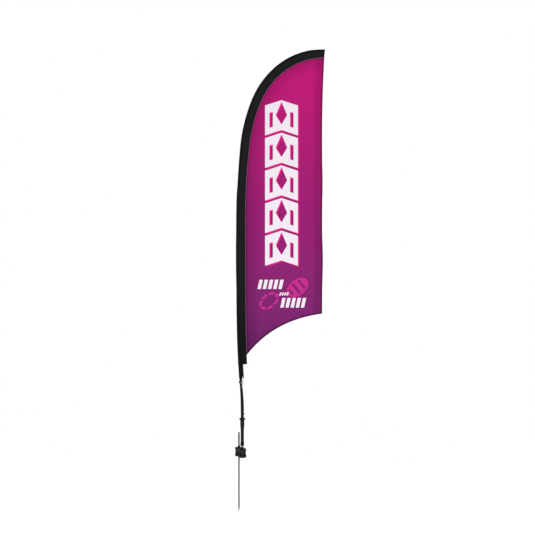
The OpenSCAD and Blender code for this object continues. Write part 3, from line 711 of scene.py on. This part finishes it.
banner = {
    # all in mm: where the free edge runs
    "freeEdge": 655, "flareFrom": 2500, "flareTo": 3140, "flare": 17,
    "waves": [(1535, 170, 6.5), (2160, 150, 4.0)],  # where its cloth gives: height, spread, how far
    "cornerZ": 1125, "footStart": (60, 797), "footPull": (272, 1076),
    "panelFrom": 468, "panelTo": 3172, "thick": 0.5,
    "hem": 14, "inset": 12,  # the hem's width, and how far inside its edge the panel stops
    "belly": 7.0, "curl": 6.0, "ripple": 1.6,  # mm out of flat
    "seamOff": 58, "markStep": 15,
    "across": 52, "up": 230,  # the panel's mesh
}
hem = {
    # across the folded hem: share of its width, mm out of the cloth
    "section": [(0, 0), (0.03, -0.75), (0.1, -1.05), (0.5, -1.0), (0.9, -1.1), (0.99, -0.6),
                (0.99, 0.6), (0.9, 1.1), (0.5, 1.0), (0.1, 1.05), (0.03, 0.75)],
    "pucker": 0.18, "puckerStep": 17, "tucked": 0.45,
    "seams": (3.0, 11.5), "freeLift": 1.35, "footLift": 1.15, "freeSteps": 190, "footSteps": 78,
}


def freeEdgeX(z):
    over = max(0, z - banner["flareFrom"]) / (banner["flareTo"] - banner["flareFrom"])
    give = sum(far * math.exp(-((z - middle) / spread) ** 2) for middle, spread, far in banner["waves"])
    return banner["freeEdge"] + banner["flare"] * over * over + give


def footPoint(t, up=0.0):  # the foot's curve from the pocket to the lower corner, or up mm inside it
    (ax, az), (bx, bz) = banner["footStart"], banner["footPull"]
    cx, cz = freeEdgeX(banner["cornerZ"]), banner["cornerZ"]
    x = (1 - t) ** 2 * ax + 2 * t * (1 - t) * bx + t * t * cx
    z = (1 - t) ** 2 * az + 2 * t * (1 - t) * bz + t * t * cz
    dx, dz = (1 - t) * (bx - ax) + t * (cx - bx), (1 - t) * (bz - az) + t * (cz - bz)
    size = math.hypot(dx, dz)
    return x - up * dz / size, z + up * dx / size


def seamOff(s):  # how far the seam lies from the pole's line, a little closer near the tip
    return banner["seamOff"] - 5 * max(0, s - 2900) / 280


def seamPoint(s, more=0.0):
    p = beside(s, seamOff(s) + more)
    return p.x / mm, p.z / mm


def billow(x, z, fromSeam):  # how far the cloth stands from flat, in mm, positive to the back
    held = ease(fromSeam / 150)  # it starts flat at the seam
    rise = (z - 800) / 2350
    belly = banner["belly"] * held * math.sin(math.pi * min(1, max(0, rise * 0.9 + 0.12)))
    pull = math.sin((x * 0.86 + z * 0.5) * 2 * math.pi / 235 + 1.1 * math.sin(z / 310))
    slow = math.sin((x * 0.35 - z) * 2 * math.pi / 690 + 0.8)
    ripples = banner["ripple"] * held * (0.6 * pull * (0.55 + 0.45 * math.sin(z / 270)) + 1.5 * slow)
    curl = banner["curl"] * (1 - ease((freeEdgeX(z) - x) / 60)) * held * (0.6 + 0.4 * math.sin(z / 190))
    return belly + ripples + curl


seamMarks = [seamPoint(s) for s in range(banner["panelFrom"] - 60, pole["length"], banner["markStep"])]


def seamDistance(x, z):  # mm from the seam, positive on the banner's side
    nearest = min(range(1, len(seamMarks) - 1), key=lambda n: math.dist((x, z), seamMarks[n]))
    (ax, az), (bx, bz) = seamMarks[nearest - 1], seamMarks[nearest + 1]
    off = ((x - ax) * (bz - az) - (z - az) * (bx - ax)) / math.hypot(bx - ax, bz - az)
    past = math.dist((x, z), seamMarks[nearest]) - banner["markStep"]
    return off if abs(off) > past else past


def clothPoint(x, z, out=0.0):
    return Vector((x * mm, axisY + (billow(x, z, seamDistance(x, z)) + out) * mm, z * mm))


def footShare(x):  # how far along the foot the panel's lower edge passes x
    return min(range(1001), key=lambda n: abs(footPoint(n / 1000, banner["inset"])[0] - x)) / 1000


def makePanel():
    across, up, low = banner["across"], banner["up"], banner["cornerZ"]
    bottom, top = low + banner["hem"], banner["flareTo"] - 1
    footLeft = seamPoint(banner["panelFrom"], -1.5)
    footRight = freeEdgeX(low) - banner["inset"]
    footFrom, footTo = footShare(footLeft[0]), footShare(footRight)
    rings, fromSeam = [], []
    for i in range(up + 1):
        left = seamPoint(mix(banner["panelFrom"], banner["panelTo"], i / up), -1.5)
        high = mix(bottom, top, i / up)
        right = freeEdgeX(high) - banner["inset"]
        fade = (1 - i / up) ** 4  # the lowest rows follow the curved foot and straighten out higher up
        ring = []
        for j in range(across + 1):
            u = j / across
            footX, footZ = footPoint(mix(footFrom, footTo, u), banner["inset"])
            x = mix(left[0], right, u) + (footX - mix(footLeft[0], footRight, u)) * fade
            z = mix(left[1], high, u) + (footZ - mix(footLeft[1], bottom, u)) * fade
            fromSeam.append(seamDistance(x, z) * mm)
            ring.append(clothPoint(x, z))
        rings.append(ring)
    # the cloth's own map keeps the mesh's mean spacing
    panel = loft("bannerPanel", rings, [i * 11.8 * mm for i in range(up + 1)],
                 [j * 11.6 * mm for j in range(across + 1)], closed=False, capped=False)
    panel.data.attributes.new("fromSeam", "FLOAT", "POINT").data.foreach_set("value", fromSeam)
    applyModifier(panel, "SOLIDIFY", thickness=banner["thick"] * mm, offset=0.0)
    finishPiece(panel, "bannerPanel", "mast", "print_fabric", "flag_panel", angle=60)
    area = sum(polygon.area for polygon in panel.data.polygons) / 2  # both faces are counted
    print("banner panel made, area", round(area, 3))
    return panel, area


def makeHem(name, line, node, thick=1.0, tuck=0):  # line gives its outer and inner edge at each step
    rings, along, run, before = [], [], 0.0, line[0][0]
    for n, (outer, inner) in enumerate(line):
        ring = []
        for share, out in hem["section"]:
            x, z = mix(outer[0], inner[0], share), mix(outer[1], inner[1], share)
            wave = math.sin(run * 2 * math.pi / hem["puckerStep"])
            pucker = hem["pucker"] * wave * math.sin(math.pi * share)
            ring.append(clothPoint(x, z, (out + pucker) * (thick if n >= tuck else hem["tucked"])))
        run += math.dist(outer, before)
        before = outer
        rings.append(ring)
        along.append(run * mm)
    piece = loft(name, rings, along, [k * 0.0029 for k in range(12)])
    return finishPiece(piece, name, "mast", "hem_fabric", node, angle=70)


def makeHems():
    top, low, wide = banner["flareTo"] - 2.1, banner["cornerZ"], banner["hem"]
    zs = [mix(low + 1, top, i / hem["freeSteps"]) for i in range(hem["freeSteps"] + 1)]
    edge = [((freeEdgeX(z), z), (freeEdgeX(z) - wide, z)) for z in zs]
    edge[0] = ((freeEdgeX(low), low + 0.1), (freeEdgeX(low) - wide, low - 1.7))  # cut along the foot
    freeHem = makeHem("freeEdgeHem", edge, "leech_hem", thick=1.18)
    ts = [mix(-0.004, 0.9895, i / hem["footSteps"]) for i in range(hem["footSteps"] + 1)]
    footHem = makeHem("footHem", [(footPoint(t), footPoint(t, wide)) for t in ts], "foot_hem", tuck=2)
    rows = []
    for inner in hem["seams"]:  # two rows of stitches on each face
        for face in (-1, 1):
            z = low + 6
            while z < top - 6:
                a = clothPoint(freeEdgeX(z) - inner, z, face * hem["freeLift"])
                b = clothPoint(freeEdgeX(z + 4) - inner, z + 4, face * hem["freeLift"])
                rows.append(stitchAt(a, b, face))
                z += stitch["pitch"]
            t = 0.032
            while t < 0.965:
                a, b = footPoint(t, inner), footPoint(t + 0.004, inner)
                lift = face * hem["footLift"]
                rows.append(stitchAt(clothPoint(*a, lift), clothPoint(*b, lift), face))
                t += 0.004 * stitch["pitch"] / math.dist(a, b)
    makeStitches("hemStitches", rows, "mast", "hem_fabric", "plumThread")
    print("hems made,", len(rows), "stitches")
    return freeHem, footHem


# the pole pocket and its end tape, in mm along the pole's line

pocket = {
    "from": 364, "to": 3177, "step": 6, "hemFold": 14, "hemSeam": 11,
    "leaves": math.radians(38),  # how far round the pole the cloth leaves it for the seam
    "seams": (3.0, 9.0), "pitch": 6.6,
    # the bound end that closes the top: place and inset of each ring, then half its outline, front side
    "tape": [(3168.0, 0.8), (3169.0, 0.0), (3177.5, 0.0), (3178.5, 1.0)],
    "tapeSection": [(52, 3.6), (20, 4.6)],
}


def pocketRadius(s):  # the cloth hugs each pole section and steps in at the ferrules
    return 12.6 - 1.1 * ease((s - 860) / 60) - 2.6 * ease((s - 1700) / 70)


def pocketSlack(s):  # how loosely the cloth stands off the pole's outer side
    middle = 4.6 * math.exp(-((s - 1190) / 250) ** 2)
    return middle + 3.6 * ease((s - 1850) / 300) * (1 - 0.8 * ease((s - 3040) / 120))


def endSlant(s, off):  # the closed end is cut on a slant, its outer corner standing forward
    return s + 5 * (18 - off) / 60 * ease((s - 3100) / 77)


def pocketCrease(s):  # small gathers, deeper where the pole bends most
    waves = 0.5 * math.sin(s * 2 * math.pi / 61) + 0.35 * math.sin(s * 2 * math.pi / 23.5 + 1.3)
    return waves * (0.6 + 1.6 * ease((s - 2150) / 500))


def pocketHigh(s, share, radius):  # half the pocket's thickness, share of the way from the seam to the pole
    flat = mix(1.0, radius * math.sin(pocket["leaves"]), share) - 1.3 * math.sin(math.pi * share)
    return flat + pocketCrease(s) * math.sin(math.pi * min(1, share * 1.15)) * 0.8


def pocketSection(s):  # one closed section: seam edge, front, round the pole, back
    radius = pocketRadius(s) + (0.7 if s < pocket["from"] + pocket["hemFold"] else 0)
    leaves = pocket["leaves"]
    section = []
    for share in (0, 0.015, 0.12, 0.27, 0.42, 0.57, 0.72, 0.87):
        section.append((mix(seamOff(s), radius * math.cos(leaves), share), -pocketHigh(s, share, radius)))
    for k in range(13):
        turn = mix(leaves, 2 * math.pi - leaves, k / 12)
        fold = radius + 0.22 * pocketCrease(s) * (0.4 + abs(math.sin(turn)))
        slack = pocketSlack(s) if math.cos(turn) < 0 else 0
        section.append((math.cos(turn) * (fold + slack), -fold * math.sin(turn)))
    section += [(x, -y) for x, y in reversed(section[:8])]
    return [beside(endSlant(s, x), x, y) for x, y in section]


def makePocket():
    stops = [*range(pocket["from"], pocket["to"], pocket["step"]), pocket["to"]]
    rings = [pocketSection(s) for s in stops]
    sleeve = loft("polePocket", rings, [s * mm for s in stops], girthOf(rings[40]))
    shares = []
    for ring in rings:
        outer, way = ring[14], ring[0] - ring[14]
        shares += [(p - outer).dot(way) / way.length_squared for p in ring]
    # 0 at the pole's outer side, 1 at the seam
    across = sleeve.data.attributes.new("across", "FLOAT", "POINT")
    across.data.foreach_set("value", shares)
    finishPiece(sleeve, "polePocket", "mast", "sleeve_fabric", "pole_sleeve", angle=60)

    rows = []
    for face in (-1, 1):
        for inner in pocket["seams"]:
            s = pocket["from"] + 4
            while s < pocket["to"] - 6:
                off = seamOff(s) - inner
                share = inner / (seamOff(s) - pocketRadius(s) * 0.79)
                lifts = [face * (pocketHigh(at, share, pocketRadius(at)) + 0.15) for at in (s, s + 4)]
                rows.append(stitchAt(beside(s, off, lifts[0]), beside(s + 4, off, lifts[1]), face))
                s += pocket["pitch"]
        s, radius, off = pocket["from"] + pocket["hemSeam"], pocketRadius(pocket["from"]), -4.0
        while off < 52:  # the pocket's bottom hem
            if off < 8:
                lift = math.sqrt((radius + 0.9) ** 2 - off * off)
            else:
                lift = mix(radius * 0.62, 1.0, (off - 10) / 48) + 0.4
            rows.append(stitchAt(beside(s, off, face * lift), beside(s, off + 4, face * lift), face))
            off += stitch["pitch"]
    makeStitches("pocketStitches", rows, "mast", "sleeve_fabric", "blackThread")
    makeEndTape()
    print("pole pocket made,", len(rows), "stitches")
    return sleeve


def makeEndTape():
    rings = []
    for s, inset in pocket["tape"]:
        half = [(53 - inset, 2.2), *pocket["tapeSection"], (-2, 8.6 - inset), (-8, 6)]
        section = [(x, -y) for x, y in half] + [(-10 + inset, 0)] + half[::-1]
        rings.append([beside(endSlant(s, x), x, y) for x, y in section])
    start = pocket["tape"][0][0]
    endTape = loft("pocketEndTape", rings, [(s - start) * mm for s, inset in pocket["tape"]],
                   [k * 0.012 for k in range(12)])
    roundEdges(endTape, 0.5, angle=40)
    finishPiece(endTape, "pocketEndTape", "mast", "sleeve_fabric", "sleeve_end_tape")


# the strap below the pocket, with its eyelet

strap = {
    "from": 257.5, "to": 372, "step": 3, "narrowFrom": 366, "wide": 26.5, "radius": 12.0, "edge": 1.15,
    "leaves": math.radians(36),
    "eyeletAt": 271.5, "eyeletOff": 17.0, "collar": 1.05, "collarMiddle": 4.35,
    "box": [(12.5, 292), (21, 292), (21, 330), (12.5, 330)], "pitch": 4.4,
}


def strapSection(s):
    narrow = s > strap["narrowFrom"]  # it slips inside the pocket
    radius = strap["radius"] - (0.9 if narrow else 0)
    wide = strap["wide"] - (3 if narrow else 0)
    near = ease((abs(s - strap["eyeletAt"]) - 7) / 12)  # pressed flat round the eyelet
    leaves = strap["leaves"]
    section = []
    for share in (0, 0.03, 0.25, 0.5, 0.7, 0.86):
        lift = mix(strap["edge"], radius * math.sin(leaves), share ** mix(6.0, 1.25, near))
        section.append((mix(wide, radius * math.cos(leaves), share), -lift))
    for k in range(13):
        turn = mix(leaves, 2 * math.pi - leaves, k / 12)
        section.append((radius * math.cos(turn), -radius * math.sin(turn)))
    section += [(x, -y) for x, y in reversed(section[:6])]
    return [beside(s, x, y) for x, y in section]


def makeStrap():
    count = int((strap["to"] - strap["from"]) / strap["step"]) + 1
    stops = [strap["from"] + n * strap["step"] for n in range(count)]
    rings = [strapSection(s) for s in stops]
    webbing = loft("tackStrap", rings, [s * mm for s in stops], girthOf(rings[0]))
    finishPiece(webbing, "tackStrap", "mast", "strap_webbing", "tack_strap", angle=50)

    a, b, c, d = strap["box"]
    rows = []
    for face in (-1, 1):  # a box stitch with its cross, above the eyelet
        for (ax, az), (bx, bz) in ((a, b), (b, c), (c, d), (d, a), (a, c), (b, d)):
            size = math.hypot(bx - ax, bz - az)
            wayX, wayZ = (bx - ax) / size, (bz - az) / size
            for n in range(round(size / strap["pitch"])):
                far = (n + 0.15) * strap["pitch"]
                x, z = ax + far * wayX, az + far * wayZ
                share = (strap["wide"] - x) / (strap["wide"] - 9.7)
                high = mix(strap["edge"], 7.05, share ** 1.25) + 0.4
                start = beside(z, x, face * high)
                end = beside(z + wayZ, x + wayX, face * (high - wayX * 0.42))
                rows.append((start, end - start, Vector((0.4, face, 0)).normalized()))
    makeStitches("strapStitches", rows, "mast", "strap_webbing", "greyThread")
    makeEyelet()
    print("strap and eyelet made,", len(rows), "stitches")


def makeEyelet():  # an oval wire spun round to a rolled collar that stands on both faces
    middle = (strap["collarMiddle"] * mm, 0, 0)
    deselect()
    bpy.ops.mesh.primitive_circle_add(vertices=10, radius=strap["collar"] * mm, location=middle,
                                      rotation=(math.radians(90), 0, 0))
    eyelet = bpy.context.object
    bpy.ops.object.transform_apply()
    bpy.ops.object.mode_set(mode="EDIT")
    bpy.ops.mesh.select_all(action="SELECT")
    bpy.ops.transform.resize(value=(1.35, 1, 1.65), center_override=middle)
    bpy.ops.mesh.spin(steps=40, angle=2 * math.pi, center=(0, 0, 0), axis=(0, 0, 1))
    bpy.ops.mesh.select_all(action="SELECT")
    bpy.ops.mesh.remove_doubles(threshold=0.01 * mm)
    turnOutwards()
    eyelet.rotation_euler = (math.radians(90), bowPoint(strap["eyeletAt"])[2], 0)
    eyelet.location = beside(strap["eyeletAt"], strap["eyeletOff"])
    finishPiece(eyelet, "strapEyelet", "mast", "eyelet_nickel", "strap_eyelet", angle=60)


# the elastic loop: points in mm from the strap's eyelet, and (outwards, height) in the hook's eye

loop = {
    "thick": 2.8,
    "down": [(0, 0, 0), (0, -2.8, -1.4), (0, -4.2, -5), (0.3, -8, -12)],
    "up": [(-3.2, -4.5, -18.8), (-1.8, 1.5, -17.2), (-0.6, 4.6, -12.5), (0, 4.2, -5), (0, 2.8, -1.4)],
    "eye": [(4.8, 617.5), (4.8, 611.6), (4, 610.1), (-0.9, 610.1), (-1.8, 611.5), (-1.8, 614)],
    "hookTurn": math.radians(-40), "hookOut": 15, "clipAt": 224,
}


def makeLoop():
    start = beside(strap["eyeletAt"], strap["eyeletOff"])
    clipX = bowPoint(loop["clipAt"])[0]
    turn = loop["hookTurn"]
    eye = []
    for out, z in loop["eye"]:
        reach = (loop["hookOut"] + out) * mm
        eye.append(Vector((clipX + reach * math.cos(turn), axisY + reach * math.sin(turn), z * mm)))
    down, up = [[start + Vector(p) * mm for p in loop[side]] for side in ("down", "up")]
    route = down + eye + up
    curve = bpy.data.curves.new("elasticLoop", "CURVE")
    curve.dimensions = "3D"
    curve.bevel_depth = loop["thick"] / 2 * mm
    curve.bevel_resolution = 3
    curve.resolution_u = 6
    line = curve.splines.new("BEZIER")
    line.use_cyclic_u = True
    line.bezier_points.add(len(route) - 1)
    for n, point in enumerate(line.bezier_points):
        before, here, after = route[n - 1], route[n], route[(n + 1) % len(route)]
        point.co = here
        way = (after - before).normalized() * 0.3
        point.handle_left = here - way * (here - before).length
        point.handle_right = here + way * (after - here).length
    pick(newPiece("elasticLoop", curve))
    bpy.ops.object.convert(target="MESH")
    cord = bpy.context.object
    cord.name = cord.data.name = "elasticLoop"
    bpy.ops.object.shade_smooth_by_angle(angle=math.radians(60))
    cord.data.materials.clear()
    cord.data.materials.append(finishes["bungee_cord"])
    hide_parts("bungee_loop")
    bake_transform(cord)
    print("elastic loop made")


# the pole's lowest section: radii, the butt's taper and the wall in mm

lowerPole = {
    "butt": 13.0, "straight": 10.5, "taperTo": 197, "wall": 1.6, "sides": 40,
    "stops": [-13, 0.9, 1, 3, 10, 40, 75, 110, 145, 175, 197, 225, 257, *range(300, 800, 42), 799],
}


def makeLowerPole():
    deselect()
    straight, taperTo = lowerPole["straight"], lowerPole["taperTo"]
    x, z, _ = bowPoint(lowerPole["stops"][0])
    bpy.ops.mesh.primitive_circle_add(vertices=lowerPole["sides"], radius=straight * mm, fill_type="NOTHING",
                                      location=(x, axisY, z))
    tube = bpy.context.object
    bpy.ops.object.mode_set(mode="EDIT")
    bpy.ops.mesh.select_all(action="SELECT")
    before = straight
    for s in lowerPole["stops"][1:]:  # pulled up step by step along the bow, narrowing as it goes
        share = min(1, max(0, (taperTo - s) / (taperTo - 10))) if s > 0.9 else 0
        radius = mix(straight, lowerPole["butt"] - (0.7 if s < 3 else 0), share)
        nextX, nextZ, _ = bowPoint(s)
        bpy.ops.mesh.extrude_region_move(TRANSFORM_OT_translate={"value": (nextX - x, 0, nextZ - z)})
        size = radius / before
        bpy.ops.transform.resize(value=(size, size, 1), center_override=(nextX, axisY, nextZ))
        x, z, before = nextX, nextZ, radius
    turnOutwards()
    applyModifier(tube, "SOLIDIFY", thickness=lowerPole["wall"] * mm, offset=-1.0)
    finishPiece(tube, "lowerPole", "mast", "pole_fibreglass", "lower_pole")
    print("lower pole made")


# the hard parts: the body each rides on, its material slot and how far its edges are rounded, in mm

hardParts = {
    "spike_block": ("ground_spike", "block_nylon", 1.1), "spike_rod": ("ground_spike", "zinc_steel", 0.3),
    "clamp_screw": ("ground_spike", "dark_screw", 0.25),
    "bearing_cover": ("ground_spike", "block_nylon", 0.35),
    "cover_screws": ("ground_spike", "zinc_steel", 0.15), "spindle": ("swivel", "spindle_steel", 0.3),
    "base_tube": ("mast", "black_aluminium", 0.3), "tube_foot_cap": ("mast", "cap_rubber", 0.6),
    "coupling_socket": ("mast", "coupling_nylon", 0.5), "socket_rivets": ("mast", "zinc_steel", 0.3),
    "lock_collar": ("collar", "coupling_nylon", 0.6), "snap_button": ("button", "dark_screw", 0.3),
    "tension_clip": ("mast", "clip_plastic", 0.5), "clip_screw": ("mast", "zinc_steel", 0.2),
    "bungee_hook": ("hook", "hook_acetal", 0.45),
}


def makeHardParts():
    for node, (body, slot, edge) in hardParts.items():
        first, *others = node.split("_")
        piece = cadCopy(node)
        roundEdges(piece, edge)
        name = first + "".join(word.title() for word in others) + "Finished"
        finishPiece(piece, name, body, slot, node, angle=32)
    print("hard parts finished")


leafSpring = {"press": 4.0, "edge": 0.12}  # mm that the button travels, and the leaf's rounding


def makeLeafSpring():  # a folded leaf behind the button, which closes up as the button goes in; here it keeps its rest shape
    leaf = cadCopy("button_spring")
    roundEdges(leaf, leafSpring["edge"])
    finishPiece(leaf, "buttonLeafSpring", "mast", "bearing_steel", "button_spring", angle=32)
    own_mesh(leaf)
    print("button spring made")


# bearings, bushes and pole sections inside keep their shape and take a real finish
innerParts = {
    "bearing_outer_rings": "bearing_steel", "bearing_inner_rings": "bearing_steel",
    "bearing_balls": "bearing_steel", "shaft_seal": "seal_rubber", "bearing_spacer": "zinc_steel",
    "retaining_clip": "dark_screw", "lower_bush": "bush_acetal", "upper_bush": "bush_acetal",
    "tube_stop": "bush_acetal", "lower_ferrule": "ferrule_aluminium", "mid_pole": "pole_fibreglass",
    "middle_ferrule": "ferrule_aluminium", "upper_pole": "pole_fibreglass",
    "upper_ferrule": "ferrule_aluminium", "tip_pole": "pole_fibreglass", "tip_cap": "cap_rubber",
}


def dressInnerParts():
    for node, slot in innerParts.items():
        nodes[node].data.materials.clear()
        nodes[node].data.materials.append(finishes[slot])
    print("inner parts dressed,", len(innerParts))


makeStudio()
finishes.update(makeHardFinishes())
finishes["print_fabric"] = printedCloth("printedFlagKnit")
finishes["hem_fabric"] = printedCloth("hemKnitPaintedShade", paintedHemShade=True)
finishes["sleeve_fabric"] = pocketCloth()
finishes["strap_webbing"] = wovenStrap()
finishes["bungee_cord"] = braidedCord()
for name, dark, light in (("plumThread", "5a1a4c", "8a2f74"), ("blackThread", "1b1c1c", "3c3e3e"),
                          ("greyThread", "2a2a2c", "505154")):
    finishes[name] = sewingThread(name, dark, light)
print("finishes made,", len(finishes))

panel, panelArea = makePanel()
hems = makeHems()
sleeve = makePocket()
makeStrap()
makeLoop()
makeLowerPole()
makeHardParts()
makeLeafSpring()
dressInnerParts()
